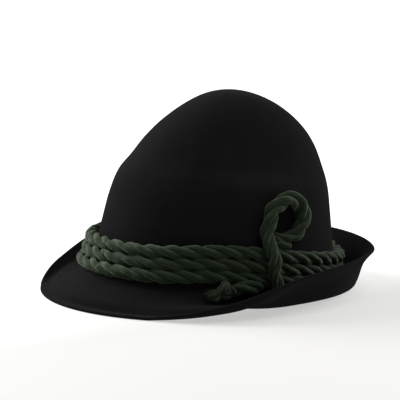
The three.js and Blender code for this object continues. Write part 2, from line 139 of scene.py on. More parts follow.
class HatFelt(bpy.types.PropertyGroup):
    """Sizes and colour of the felt crown and brim"""
    crown_length: metres("Crown length", "Outside, front to back, at the cord", 0.206)
    crown_width: metres("Crown width", "Outside, side to side, at the cord", 0.167)
    height: metres("Height", "Surface to the top of the crown", 0.158)
    thickness: metres("Thickness", "Thickness of the pressed felt", 0.0023)
    tilt: degrees("Band tilt", "Rise of the crown's foot and the cord to the front", 5.5)
    front_drop: metres("Front drop", "Fall of the crown's foot round the front", 0.0015)
    side_dent: metres("Side dent", "Depth of the pinch on each side of the crown's front", 0.005)
    brim_front: metres("Brim front", "Reach of the brim in front, seen from above", 0.046)
    brim_side: metres("Brim side", "Reach of the brim at the sides, seen from above", 0.041)
    brim_back: metres("Brim back", "Reach of the brim at the back, seen from above", 0.0245)
    upturn: metres("Upturn", "Height of the turned-up rim", 0.036)
    fold_lift: metres("Fold lift", "Height of the brim's fold off the surface at the sides", 0.0012)
    rim_egg: FloatProperty(
        name="Rim egg", description="Share by which the rim is narrower towards the front",
        default=0.04, subtype='FACTOR')
    unevenness: metres("Unevenness", "Soft unevenness left by blocking the felt by hand", 0.00022)
    colour: FloatVectorProperty(
        name="Colour", description="Colour of the felt", size=3, default=(0.0072, 0.0072, 0.0074),
        min=0.0, max=1.0, subtype='COLOR')


class HatCord(bpy.types.PropertyGroup):
    """Sizes and colours of the twisted wool cord"""
    diameter: metres("Diameter", "Over the strands, as it lies on the crown", 0.0093)
    fullness: FloatProperty(
        name="Fullness", description="Radius of the soft strands against the firm cord",
        default=1.12, subtype='FACTOR')
    lay: metres("Lay", "Length in which a strand goes once round the cord", 0.048)
    clearance: metres("Clearance", "Gap between pieces that touch", 0.00036)
    front_squeeze: FloatProperty(
        name="Front squeeze", description="Share by which the turns close up in front",
        default=0.08, subtype='FACTOR')
    sink: metres("Sink", "Fall of the upper turns round the back", 0.0044)
    eye_width: metres("Eye width", "Of the eye's centre line, along the brim", 0.0325)
    eye_height: metres("Eye height", "Of the eye's centre line, upright", 0.029)
    eye_angle: degrees("Eye angle", "Round from the front to the eye's middle", 86.5)
    tail_length: metres("Tail length", "Cord from the leg forward to the knot", 0.020)
    knot_diameter: metres("Knot diameter", "Over the knot's soft strands", 0.0152)
    fray_length: metres("Fray length", "Length of the frayed end", 0.0105)
    fuzz: IntProperty(
        name="Fuzz", description="Loose fibres that stand off each turn", default=1500, min=0)
    colour: FloatVectorProperty(
        name="Colour", description="Middle colour of the wool", size=3,
        default=(0.0080, 0.0150, 0.0072), min=0.0, max=1.0, subtype='COLOR')


class HatStage(bpy.types.PropertyGroup):
    """Camera, lights and floor"""
    azimuth: degrees("Azimuth", "Camera round from the front to the wearer's left", 49.7032)
    elevation: degrees("Elevation", "Camera above the surface", 12.3052)
    roll: degrees("Roll", "Roll of the camera about its axis", 1.37)
    distance: metres("Distance", "Camera to the hat's middle", 1.30078)
    middle: metres("Middle", "Point under the hat that the camera is set from", 0.00443)
    aim_right: metres("Aim right", "Point aimed at, to the right of the middle", -0.008666)
    aim_up: metres("Aim up", "Point aimed at, above the middle", 0.068605)
    lens: FloatProperty(
        name="Lens", description="Focal length on a 36 mm sensor", default=144.252,
        subtype='DISTANCE_CAMERA')
    side_light: FloatProperty(
        name="Side light", description="Power of each large soft light, left and right behind",
        default=21.0, unit='POWER')
    top_light: FloatProperty(
        name="Top light", description="Power of the soft light overhead", default=9.0, unit='POWER')
    fill: FloatProperty(
        name="Fill", description="Brightness of the room round the hat", default=0.36)


def ramp(low, high, x):
    """Smooth step: 0 below low, 1 above high, three squares less two cubes between."""
    t = np.clip((x - low) / (high - low), 0, 1)
    return t * t * (3 - 2 * t)


def mix(a, b, t):
    """Straight blend from a to b."""
    return a + (b - a) * t


def unit(v):
    """Vectors divided by their lengths."""
    return v / np.maximum(np.linalg.norm(v, axis=-1, keepdims=True), 1e-12)


def through_rows(table, position):
    """Catmull-Rom spline through a table's rows, with each end carried on straight."""
    last = len(table) - 1
    rows = np.concatenate([[2 * table[0] - table[1]], table, [2 * table[-1] - table[-2]]])
    index = np.clip(np.floor(position).astype(int), 0, last - 1)
    t = position - index
    if table.ndim > 1:
        t = t[..., None]
    p0, p1, p2, p3 = (rows[index + k] for k in range(4))
    return 0.5 * (2 * p1 + (p2 - p0) * t + (2 * p0 - 5 * p1 + 4 * p2 - p3) * t ** 2
                  + (3 * p1 - p0 - 3 * p2 + p3) * t ** 3)


def from_front(theta):
    """Degrees round from the front, the same on both sides."""
    return np.abs(np.degrees(np.arctan2(np.sin(theta), np.cos(theta))))


def crown_centre(felt):
    """Middle of the crown's foot from front to back, before the hat is centred."""
    return (felt.brim_front - felt.brim_back) / 2


def foot_height(felt):
    """Middle height of the crown's foot: the felt plus the tilt over half the crown's length."""
    return felt.thickness + np.tan(felt.tilt) * felt.crown_length / 2


def crown_point(row, theta, felt):
    """Crown's outer face: an ellipse at each row of the table, pinched between front and side.

    Across is half the width times sine, lengthwise half the length times cosine about the
    shifted middle. The tilt and the front's drop fade out above the break in the side.
    """
    height, length, width, shift = np.moveaxis(through_rows(CROWN, row), -1, 0)
    tip = 1 - (1 - CROWN[-2, 0]) * (length / CROWN[-2, 1]) ** 2
    height = np.where(row > len(CROWN) - 2, tip, height)
    around = from_front(theta)
    pinch = (felt.side_dent * ramp(*DENT_RISE, height) * (1 - ramp(*DENT_FADE, height))
             * ramp(*DENT_START, around) * (1 - ramp(*DENT_END, around)))
    half_length = felt.crown_length / 2
    x = (felt.crown_width / 2 * width - pinch) * np.sin(theta)
    y = crown_centre(felt) + half_length * shift - (half_length * length - pinch) * np.cos(theta)
    kept = 1 - ramp(BREAK_HEIGHT, 1, height)
    fall = felt.front_drop * np.maximum(0, np.cos(theta)) ** 2
    z = (mix(foot_height(felt), felt.height, height)
         - kept * (np.tan(felt.tilt) * (y - crown_centre(felt)) + fall))
    return np.stack([x, y, z], -1)


def brim_section(theta):
    """Brim table at an angle: a cubic between rows whose slopes are their harmonic means."""
    place = from_front(theta) / 30
    steps = np.diff(BRIM, axis=0)
    same = steps[:-1] * steps[1:] > 0
    slopes = np.zeros_like(BRIM)
    slopes[1:-1] = np.where(
        same, 2 * steps[:-1] * steps[1:] / np.where(same, steps[:-1] + steps[1:], 1), 0)
    index = np.minimum(place.astype(int), len(BRIM) - 2)
    t = (place - index)[..., None]
    rows = ((2 * t ** 3 - 3 * t ** 2 + 1) * BRIM[index] + (t ** 3 - 2 * t ** 2 + t) * slopes[index]
            + (3 * t ** 2 - 2 * t ** 3) * BRIM[index + 1] + (t ** 3 - t ** 2) * slopes[index + 1])
    return np.moveaxis(rows, -1, 0)


def brim_point(share, theta, felt):
    """Brim's upper face for shares from foot to rim by angles.

    The section is a cubic B-spline, its end points taken three times, over seven guide points
    that lie on a sagging cone in front and dip to the surface and rise to the rim where it is
    folded. Its reach blends the crown's foot with the egg-shaped rim, seen from above.
    """
    rim_share, fold, lift, gutter, heel, wall, lip = brim_section(theta)
    foot = crown_point(np.zeros_like(theta), theta, felt)
    half_length = (felt.crown_length + felt.brim_front + felt.brim_back) / 2
    half_width = felt.crown_width / 2 + felt.brim_side
    rim = np.stack([half_width * np.sin(theta) * (1 - felt.rim_egg * np.cos(theta)),
                    -half_length * np.cos(theta), mix(felt.thickness, felt.upturn, rim_share)], -1)
    foot_z = foot[:, 2]
    rim_z = rim[:, 2]
    pressed = 0.3 * felt.thickness
    dip = mix(pressed, felt.thickness + felt.fold_lift, lift)

    def cone(reach):
        return mix(foot_z, rim_z, reach) - CONE_SAG * np.sin(np.pi * reach)

    reach = np.stack([0 * theta, 0.45 * gutter, gutter, heel, wall, lip, 0 * theta + 1])
    rise = np.stack([
        foot_z,
        mix(cone(reach[1]), mix(foot_z, dip, 0.7), fold),
        mix(cone(reach[2]), dip, fold),
        mix(cone(reach[3]), dip, fold),
        mix(cone(reach[4]), mix(felt.thickness, rim_z, WALL_SHARE), fold),
        mix(pressed, mix(felt.thickness, rim_z, LIP_SHARE), fold),
        mix(pressed, rim_z, ramp(0, 0.03, rim_share))])
    knots = np.array([0, 0, 0, 1, 2, 3, 4, 5, 6, 6, 6])
    spans = len(knots) - 3
    place = np.minimum(share * spans, spans - 1e-9)
    index = place.astype(int)
    t = place - index
    weights = np.stack([(1 - t) ** 3, 3 * t ** 3 - 6 * t ** 2 + 4,
                        -3 * t ** 3 + 3 * t ** 2 + 3 * t + 1, t ** 3]) / 6
    which = knots[index[None] + np.arange(4)[:, None]]
    reach = (weights[..., None] * reach[which]).sum(0)
    z = (weights[..., None] * rise[which]).sum(0)
    flat = mix(foot[None, :, :2], rim[None, :, :2], reach[..., None])
    return np.concatenate([flat, np.maximum(felt.thickness, z)[..., None]], -1)


def hat_centre(felt):
    """Shift that centres the felt's outline on the origin, from where its solid's front lies."""
    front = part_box("felt_body")[0][1]
    return np.array([0, front + (felt.crown_length + felt.brim_front + felt.brim_back) / 2, 0])


def grid_normals(points):
    """Unit normals of a grid of rings, from the differences down and round it."""
    down = np.gradient(points, axis=0)
    across = np.roll(points, -1, axis=1) - np.roll(points, 1, axis=1)
    return unit(np.cross(down, across))


def strips(rows, columns, offset=0, close_rows=False, shift=0):
    """Faces of a grid whose columns close on themselves, and whose rows may, with a shift."""
    i, k = np.meshgrid(np.arange(rows if close_rows else rows - 1), np.arange(columns), indexing="ij")
    after = (i + 1) % rows
    turn = np.where(i + 1 == rows, shift, 0)
    a = i * columns + k
    b = after * columns + (k + turn) % columns
    c = after * columns + (k + 1 + turn) % columns
    d = i * columns + (k + 1) % columns
    return np.stack([a, b, c, d], -1).reshape(-1, 4) + offset


def fan(ring, pole, flip=False):
    """Triangles from a ring of points to one pole."""
    following = np.roll(ring, -1)
    faces = np.stack([np.full_like(ring, pole), ring, following], -1)
    return faces[:, ::-1] if flip else faces


def make_piece(name, points, faces, material, node, fibre=None):
    """A smooth mesh object from points and faces, riding on the hat's one body."""
    mesh = bpy.data.meshes.new(name)
    sizes = np.concatenate([np.full(len(f), f.shape[1]) for f in faces])
    corners = np.concatenate([f.ravel() for f in faces])
    mesh.vertices.add(len(points))
    mesh.vertices.foreach_set("co", np.ascontiguousarray(points, dtype=np.float32).ravel())
    mesh.loops.add(len(corners))
    mesh.loops.foreach_set("vertex_index", corners.astype(np.int32))
    mesh.polygons.add(len(sizes))
    mesh.polygons.foreach_set("loop_start", (np.cumsum(sizes) - sizes).astype(np.int32))
    mesh.update(calc_edges=True)
    mesh.polygons.foreach_set("use_smooth", np.ones(len(sizes), dtype=bool))
    if fibre is not None:
        layer = mesh.attributes.new("fibre", 'FLOAT_VECTOR', 'CORNER')
        layer.data.foreach_set("vector", np.concatenate(fibre).astype(np.float32).ravel())
    if mesh.validate():
        raise RuntimeError(f"{name} has faulty faces")
    mesh.materials.append(material)
    piece = bpy.data.objects.new(name, mesh)
    bpy.context.scene.collection.objects.link(piece)
    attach(piece, "root")
    if node:
        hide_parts(*node)
    return piece


def node_maker(name):
    """A new material with its tree, its main shader and a function that adds a linked node."""
    material = bpy.data.materials.new(name)
    material.use_nodes = True
    tree = material.node_tree
    shader = tree.nodes["Principled BSDF"]

    def add(kind, inputs=(), **settings):
        node = tree.nodes.new(kind)
        for key, value in settings.items():
            setattr(node, key, value)
        for key, value in dict(inputs).items():
            if isinstance(value, bpy.types.NodeSocket):
                tree.links.new(value, node.inputs[key])
            else:
                node.inputs[key].default_value = value
        return node

    return material, tree, shader, add


def colour_ramp(node, stops):
    """Sets a colour ramp's stops from pairs of place and colour."""
    ramp_stops = node.color_ramp.elements
    while len(ramp_stops) < len(stops):
        ramp_stops.new(0.5)
    for stop, (place, colour) in zip(ramp_stops, stops):
        stop.position = place
        stop.color = (*colour, 1)


def felt_material(felt):
    """Matted wool felt: mottled black, fine fibre bump at two scales and a soft grazing sheen."""
    material, tree, shader, add = node_maker("Black Wool Felt")
    place = add("ShaderNodeTexCoord").outputs["Object"]
    mottle = add("ShaderNodeTexNoise", {"Vector": place, "Scale": 38.0, "Detail": 5.0, "Roughness": 0.6})
    nap = add("ShaderNodeTexNoise", {"Vector": place, "Scale": 900.0, "Detail": 6.0, "Roughness": 0.72,
                                     "Distortion": 1.4})
    fibres = add("ShaderNodeTexNoise", {"Vector": place, "Scale": 2600.0, "Detail": 3.0,
                                        "Roughness": 0.6, "Distortion": 2.5})
    base = np.array(felt.colour)
    shade = add("ShaderNodeValToRGB", {"Fac": nap.outputs["Fac"]})
    colour_ramp(shade, [(0.30, base * 0.72), (0.62, base * 1.05), (0.80, base * 1.7)])
    worn = add("ShaderNodeValToRGB", {"Fac": mottle.outputs["Fac"]})
    colour_ramp(worn, [(0.34, (0.86, 0.86, 0.87)), (0.66, (1.0, 1.0, 1.0))])
    colour = add("ShaderNodeMix", {"Factor": 1.0, "A": shade.outputs["Color"], "B": worn.outputs["Color"]},
                 data_type='RGBA', blend_type='MULTIPLY')
    tree.links.new(colour.outputs["Result"], shader.inputs["Base Color"])
    coarse = add("ShaderNodeBump", {"Height": nap.outputs["Fac"], "Strength": 0.7, "Distance": 0.0004})
    fine = add("ShaderNodeBump", {"Height": fibres.outputs["Fac"], "Strength": 0.45, "Distance": 0.00012,
                                  "Normal": coarse.outputs["Normal"]})
    tree.links.new(fine.outputs["Normal"], shader.inputs["Normal"])
    shader.inputs["Roughness"].default_value = 0.92
    shader.inputs["Specular IOR Level"].default_value = 0.0
    shader.inputs["Sheen Weight"].default_value = 0.02
    shader.inputs["Sheen Roughness"].default_value = 0.42
    shader.inputs["Sheen Tint"].default_value = (0.92, 0.94, 1.0, 1.0)
    return material


def wool_material(cord):
    """Soft roving: streaks that run along each strand in colour and bump, and a fuzzy sheen."""
    material, tree, shader, add = node_maker("Green Wool Roving")
    along = add("ShaderNodeAttribute", attribute_name="fibre").outputs["Vector"]
    place = add("ShaderNodeTexCoord").outputs["Object"]
    run = add("ShaderNodeMapping", {"Vector": along, "Scale": (130.0, 1900.0, 7.0)})
    thread = add("ShaderNodeMapping", {"Vector": along, "Scale": (45.0, 620.0, 5.0)})
    fine = add("ShaderNodeTexNoise", {"Vector": run.outputs["Vector"], "Scale": 1.0, "Detail": 5.0,
                                      "Roughness": 0.65, "Distortion": 0.4})
    coarse = add("ShaderNodeTexNoise", {"Vector": thread.outputs["Vector"], "Scale": 1.0, "Detail": 3.0,
                                        "Roughness": 0.55, "Distortion": 0.5})
    patch = add("ShaderNodeTexNoise", {"Vector": place, "Scale": 70.0, "Detail": 3.0})
    base = np.array(cord.colour)
    streak = add("ShaderNodeMix", {"Factor": 0.5, "A": fine.outputs["Fac"], "B": coarse.outputs["Fac"]},
                 data_type='FLOAT')
    shade = add("ShaderNodeValToRGB", {"Fac": streak.outputs["Result"]})
    colour_ramp(shade, [(0.30, base * 0.55), (0.50, base), (0.72, base * 1.6)])
    tone = add("ShaderNodeValToRGB", {"Fac": patch.outputs["Fac"]})
    colour_ramp(tone, [(0.30, (0.80, 0.84, 0.80)), (0.70, (1.0, 1.0, 1.0))])
    colour = add("ShaderNodeMix", {"Factor": 1.0, "A": shade.outputs["Color"], "B": tone.outputs["Color"]},
                 data_type='RGBA', blend_type='MULTIPLY')
    tree.links.new(colour.outputs["Result"], shader.inputs["Base Color"])
    deep = add("ShaderNodeBump", {"Height": coarse.outputs["Fac"], "Strength": 0.6, "Distance": 0.0005})
    light = add("ShaderNodeBump", {"Height": fine.outputs["Fac"], "Strength": 0.6, "Distance": 0.00025,
                                   "Normal": deep.outputs["Normal"]})
    tree.links.new(light.outputs["Normal"], shader.inputs["Normal"])
    shader.inputs["Roughness"].default_value = 0.88
    shader.inputs["Specular IOR Level"].default_value = 0.15
    shader.inputs["Sheen Weight"].default_value = 0.14
    shader.inputs["Sheen Roughness"].default_value = 0.45
    shader.inputs["Sheen Tint"].default_value = (0.84, 1.0, 0.66, 1.0)
    return material


def felt_faces(felt, sectors=256, crown_rings=104, brim_rings=60):
    """Outer and inner face of the felt, ring by ring, closing in a round edge at the rim.

    The outer face is moved along its normal by a few slow waves. Near the rim both faces come
    in by what a half circle of the felt's thickness leaves at that distance from the edge.
    """
    theta = np.arange(sectors) / sectors * 2 * np.pi
    row = (len(CROWN) - 1) * (1 - np.linspace(0.008, 1, crown_rings))
    crown = crown_point(row[:, None], theta[None], felt)
    shares = np.linspace(0, 1, 400)
    fine = brim_point(shares, theta, felt)
    reached = np.cumsum(np.linalg.norm(np.diff(fine, axis=0), axis=-1).mean(-1))
    reached = np.concatenate([[0], reached])
    edge = felt.thickness / 2
    wanted = np.concatenate([np.linspace(0, reached[-1] - 1.2 * edge, brim_rings)[1:],
                             reached[-1] - edge * np.array([0.9, 0.6, 0.3, 0.1, 0.0])])
    brim = brim_point(np.interp(wanted, reached, shares), theta, felt)
    outer = np.concatenate([crown, brim])
    normal = grid_normals(outer)
    rows = np.arange(len(outer))[:, None] / len(outer)
    wave = (np.sin(3 * theta + 9 * rows) + 0.8 * np.sin(5 * theta - 14 * rows + 1)
            + 0.6 * np.sin(8 * theta + 21 * rows + 2) + 0.4 * np.sin(13 * theta - 33 * rows))
    still = ramp(0, 0.004, outer[..., 2] - felt.thickness) * ramp(0, 0.25, rows)
    outer = outer + normal * (felt.unevenness * wave * still)[..., None]
    away = np.concatenate([np.full((len(crown), sectors), 1.0),
                           (wanted[-1] - wanted)[:, None] + np.zeros((1, sectors))])
    inset = edge - np.sqrt(np.maximum(0, edge ** 2 - (edge - np.minimum(away, edge)) ** 2))
    inner = outer - normal * (felt.thickness - inset)[..., None]
    outer = outer - normal * inset[..., None]
    inner[..., 2] = np.maximum(0, inner[..., 2])
    return outer, inner[:-1]


def cord_profile(sides):
    """Outline of three soft strands laid together, by angle, with each point's strand angle.

    Each strand is a circle set off the middle, both as shares of the cord's radius.
    """
    phi = np.arange(sides) / sides * 2 * np.pi
    alpha = (phi + np.pi / 3) % (2 * np.pi / 3) - np.pi / 3
    radius = STRAND_OFF * np.cos(alpha) + np.sqrt(STRAND_SIZE ** 2 - (STRAND_OFF * np.sin(alpha)) ** 2)
    return phi, alpha, radius, np.arctan2(radius * np.sin(alpha), radius * np.cos(alpha) - STRAND_OFF)


def cord_surface(line, outward, laid, radius, closed, seed, sides=RING_SIDES):
    """A twisted cord swept along a line: the three-strand outline turned back by the laid turns.

    Its columns follow the strands. Slow sines swell the strands, and small ridges run along
    each of them. Returns points, faces and the place along and round the strands at corners.
    """
    count = len(line)
    step = np.roll(line, -1, axis=0) - line
    round_line = np.roll(line, -1, axis=0) - np.roll(line, 1, axis=0)
    tangent = unit(round_line if closed else np.gradient(line, axis=0))
    outward = unit(outward - (outward * tangent).sum(-1, keepdims=True) * tangent)
    upward = np.cross(outward, tangent)
    travelled = np.concatenate([[0], np.cumsum(np.linalg.norm(step, axis=-1))])[:count + 1]
    phi, alpha, outline, strand_angle = cord_profile(sides)
    strand = np.floor(((phi + np.pi / 3) % (2 * np.pi)) / (2 * np.pi / 3))
    share = travelled[:count, None] / travelled[count - (0 if closed else 1)]
    waves = np.round(travelled[count - 1] / 0.011)
    way = 2 * np.pi * share
    swell = (1 + 0.045 * np.sin(way * waves + 2.1 * strand + seed)
             + 0.035 * np.sin(way * np.round(waves * 0.37) + 4.3 * strand + 2 * seed))
    ridges = (0.008 * np.cos(6 * strand_angle + way * np.round(waves * 0.5))
              + 0.010 * np.sin(3 * strand_angle - way * np.round(waves * 2.3) + strand))
    shape = radius[:, None] * outline * (swell + ridges)
    angle = phi - 2 * np.pi * laid[:, None]
    points = (line[:, None] + outward[:, None] * (shape * np.cos(angle))[..., None]
              + upward[:, None] * (shape * np.sin(angle))[..., None])
    shift = int(round(-sides * (laid[-1] + (laid[-1] - laid[-2])))) % sides if closed else 0
    faces = strips(count, sides, close_rows=closed, shift=shift)
    width = float(radius.mean()) * STREAK_SIZE
    left = strand_angle.copy()
    left[np.isclose(np.abs(alpha), np.pi / 3)] = -np.abs(strand_angle).max()
    right = np.where(np.isclose(np.abs(np.roll(alpha, -1)), np.pi / 3), np.abs(strand_angle).max(),
                     np.roll(strand_angle, -1))
    i, k = np.divmod(np.arange(len(faces)), sides)
    near, far = travelled[i], travelled[i + 1]
    fibre = np.stack([np.stack([near, left[k] * width, strand[k] + 3 * seed], -1),
                      np.stack([far, left[k] * width, strand[k] + 3 * seed], -1),
                      np.stack([far, right[k] * width, strand[k] + 3 * seed], -1),
                      np.stack([near, right[k] * width, strand[k] + 3 * seed], -1)], 1)
    return points.reshape(-1, 3), faces, fibre.reshape(-1, 3)


def open_cord(points, outward, radius, lay, seed, steps, fullness=(1.0, 1.0), sides=RING_SIDES):
    """An open cord through guide points, its stations crowded to its round closed ends."""
    place = np.linspace(0, len(points) - 1, 600)
    line = through_rows(points, place)
    out = through_rows(outward, place)
    travelled = np.concatenate([[0], np.cumsum(np.linalg.norm(np.diff(line, axis=0), axis=-1))])
    length = travelled[-1]
    at = length * (1 - np.cos(np.linspace(0, np.pi, steps))) / 2
    station = np.interp(at, travelled, place)
    line = through_rows(points, station)
    out = through_rows(outward, station)
    cap = 0.9 * radius
    ends = np.clip(np.minimum(at, length - at) / cap, 0, 1)
    size = radius * np.sqrt(np.maximum(1 - (1 - ends) ** 2, 0.0004))
    size = size * np.interp(at / length, np.linspace(0, 1, len(fullness)), fullness)
    rings, faces, fibre = cord_surface(line, out, at / lay, size, False, seed, sides)
    poles = np.array([line[0], line[-1]])
    first, last = np.arange(sides), np.arange(sides) + (steps - 1) * sides
    caps = np.concatenate([fan(first, len(rings)), fan(last, len(rings) + 1, True)])
    blank = np.tile([[0.0, 0.0, seed]], (caps.size, 1))
    return np.concatenate([rings, poles]), [faces, caps], [fibre, blank]


def crown_at(theta, z, felt):
    """Crown's outer face at a height, found by halving, and its level outward direction."""
    low = np.zeros_like(theta)
    high = np.full_like(theta, len(CROWN) - 1.0)
    for _ in range(40):
        middle = (low + high) / 2
        below = crown_point(middle, theta, felt)[..., 2] < z
        low = np.where(below, middle, low)
        high = np.where(below, high, middle)
    point = crown_point(low, theta, felt)
    across = crown_point(low, theta + 0.01, felt) - crown_point(low, theta - 0.01, felt)
    outward = unit(np.stack([across[..., 1], -across[..., 0], 0 * low], -1))
    return point, outward


def turn_height(turn, theta, y, felt, cord):
    """Centre line of a turn: one pitch over the last, down the tilted foot, plus its stray.

    Round the back the upper turns sink and the lowest comes down on to the brim.
    """
    place = theta / (2 * np.pi) * len(STRAY)
    ring = np.concatenate([STRAY[-2:], STRAY, STRAY[:3]])
    stray = through_rows(ring, place + 2) * cord.diameter
    facing = np.maximum(0, np.cos(theta)) ** 2
    pitch = (cord.diameter + cord.clearance) * (1 - cord.front_squeeze * facing)
    seat = cord.diameter / 2 + cord.clearance
    level = (foot_height(felt) + seat - np.tan(felt.tilt) * (y - crown_centre(felt))
             - felt.front_drop * facing + stray)
    around = from_front(theta)
    if turn == 0:
        return mix(level, felt.thickness + seat + cord.clearance, ramp(*LAY_DOWN, around))
    sink = cord.sink * ramp(*SINK_START, around) * mix(1, SINK_KEPT, ramp(*SINK_FADE, around))
    return level + turn * pitch - sink


def turn_gap(turn, theta, y, felt, cord):
    """Crown to a turn's centre line: the lowest slides outward to stay one pitch from the next.

    The slide is the other side of a right triangle of the pitch and the rise between them.
    """
    seat = cord.diameter / 2 + cord.clearance
    if turn > 0:
        return seat + 0 * theta
    pitch = cord.diameter + cord.clearance
    rise = turn_height(1, theta, y, felt, cord) - turn_height(0, theta, y, felt, cord)
    facing = np.maximum(0, np.cos(theta)) ** 2
    sunk = np.maximum(0, pitch * (1 - cord.front_squeeze * facing) - rise)
    return seat + np.sqrt(np.maximum(0, pitch ** 2 - (pitch - sunk) ** 2))


def beside_crown(theta, z, gap, felt):
    """Points at a gap outside the crown's face, and the outward directions there."""
    point, outward = crown_at(theta, z, felt)
    return point + outward * np.asarray(gap)[..., None], outward


def turn_line(turn, felt, cord, count=760):
    """Closed centre line of one turn, its stations evenly spaced, with outward directions."""
    def line(theta):
        guess = crown_point(np.zeros_like(theta), theta, felt)[..., 1]
        point, outward = crown_at(theta, turn_height(turn, theta, guess, felt, cord), felt)
        centre = point + outward * turn_gap(turn, theta, point[..., 1], felt, cord)[..., None]
        centre[..., 2] = turn_height(turn, theta, centre[..., 1], felt, cord)
        return centre, outward

    coarse = np.linspace(0, 2 * np.pi, 1200)
    lengths = np.linalg.norm(np.diff(line(coarse)[0], axis=0), axis=-1)
    travelled = np.concatenate([[0], np.cumsum(lengths)])
    theta = np.interp(np.arange(count) / count * travelled[-1], travelled, coarse)
    centre, outward = line(theta)
    return centre, outward, travelled[-1]


def top_turn(felt, cord):
    """Height of the top turn's centre line under the eye."""
    return turn_height(2, np.array([cord.eye_angle]), crown_centre(felt), felt, cord)[0]


def over_turns(cord):
    """Crown to the centre line of a cord that lies over a turn."""
    return 1.5 * cord.diameter + 3 * cord.clearance


def eye_guides(felt, cord):
    """Guide points of the eye and its leg, as along, rise and gap beside the crown.

    The eye is most of an ellipse whose foot curls in behind the leg. The leg comes down from
    it over the turns to the brim.
    """
    radius = cord.diameter / 2
    pitch = cord.diameter + cord.clearance
    seat = radius + cord.clearance
    top = top_turn(felt, cord)
    middle = top + 1.6 * pitch + cord.eye_height / 2
    along = np.concatenate([cord.eye_width * EYE_FOOT[:, 0], cord.eye_width / 2 * np.cos(EYE_ARC),
                            cord.eye_width * EYE_LEG[:, 0]])
    rise = np.concatenate([middle - cord.eye_height * EYE_FOOT[:, 1],
                           middle + cord.eye_height / 2 * np.sin(EYE_ARC), top + pitch * EYE_LEG[:, 1]])
    lift = np.concatenate([[0, 0, 0.1 * radius], np.full(len(EYE_ARC), 0.4 * radius),
                           (over_turns(cord) - seat) * EYE_LEG[:, 2]])
    return along, rise, seat + lift


def beside_eye(along, z, gap, felt, cord):
    """Points beside the crown's left side: along is the distance behind the eye's middle."""
    theta = cord.eye_angle + along / (felt.crown_length / 2)
    return beside_crown(theta, z, gap, felt)


def tail_line(felt, cord):
    """Centre line of the cord's end, from the leg's foot forward, sinking on to the brim."""
    pitch = cord.diameter + cord.clearance
    gap = over_turns(cord) - 0.33 * cord.diameter
    along = -0.32 * cord.eye_width - pitch - TAIL[:, 0] * cord.tail_length
    theta = cord.eye_angle + along / (felt.crown_length / 2)
    drop = cord.diameter * TAIL[:, 1]
    height = turn_height(0, theta, crown_centre(felt) + along, felt, cord) - drop
    return beside_crown(theta, height, np.full(len(TAIL), gap), felt)


def hairs(root, way, bend, length, radius, segments, sides):
    """Thin closed fibres: each centre line is its root plus way times t plus bend times t
    squared, and its radius falls in a straight line to a point at its tip."""
    count = len(root)
    t = np.arange(segments)[:, None] / segments
    centre = (root[:, None] + way[:, None] * (length[:, None] * t.T)[..., None]
              + bend[:, None] * (length[:, None] * (t.T ** 2))[..., None])
    side = unit(np.cross(way, way[:, [1, 2, 0]] + (0.3, 0.1, 0.2)))
    other = np.cross(way, side)
    angle = np.arange(sides) / sides * 2 * np.pi
    ring = side[:, None] * np.cos(angle)[:, None] + other[:, None] * np.sin(angle)[:, None]
    thin = radius[:, None] * (1 - 0.8 * t.T)
    points = centre[:, :, None] + ring[:, None] * thin[..., None, None]
    tips = root + way * length[:, None] + bend * length[:, None]
    each = segments * sides + 1
    cloud = np.concatenate([points.reshape(count, -1, 3), tips[:, None]], 1)
    one = strips(segments, sides)
    last = fan(np.arange(sides) + (segments - 1) * sides, segments * sides, True)
    start = np.arange(count) * each
    quads = (one[None] + start[:, None, None]).reshape(-1, 4)
    triangles = (last[None] + start[:, None, None]).reshape(-1, 3)
    base = np.arange(sides)[None] + start[:, None]
    return cloud.reshape(-1, 3), [quads, triangles, base]


def loose_fibres(points, centre, count, seed):
    """Fuzz: fibres rooted at chosen points of a cord's surface, leaning out and curling."""
    rng = np.random.default_rng(seed)
    chosen = rng.integers(0, len(points), count)
    root = points[chosen]
    out = unit(root - centre[chosen])
    lean = unit(rng.normal(size=(count, 3)))
    way = unit(out * rng.uniform(0.25, 1.0, (count, 1)) + 0.9 * lean)
    way = unit(way + out * np.maximum(0, 0.25 - (way * out).sum(-1, keepdims=True)))
    bend = unit(rng.normal(size=(count, 3))) * rng.uniform(0.1, 0.6, (count, 1))
    length = rng.uniform(0.0012, 0.0038, count)
    radius = rng.uniform(0.00004, 0.00008, count)
    return hairs(root - out * 0.0003, way, bend, length, radius, 3, 3)


def blank_fibre(faces, seed):
    """Strand places for faces that have none: one corner value each, all at the seed."""
    return [np.tile([[0.0, 0.0, float(seed)]], (f.size, 1)) for f in faces]


def joined(parts):
    """Puts several sets of points and faces into one, with the strand places if they have them."""
    points, faces, fibre = [], [], []
    start = 0
    for one_points, one_faces, one_fibre in parts:
        points.append(one_points)
        faces.extend(f + start for f in one_faces)
        fibre.extend(one_fibre)
        start += len(one_points)
    return np.concatenate(points), faces, fibre


def wool_piece(name, points, faces, fibre, node=()):
    """A piece of cord in the wool material, which is made once."""
    wool = bpy.data.materials.get("Green Wool Roving") or wool_material(bpy.context.scene.hat_cord)
    return make_piece(name, points, faces, wool, node, fibre)


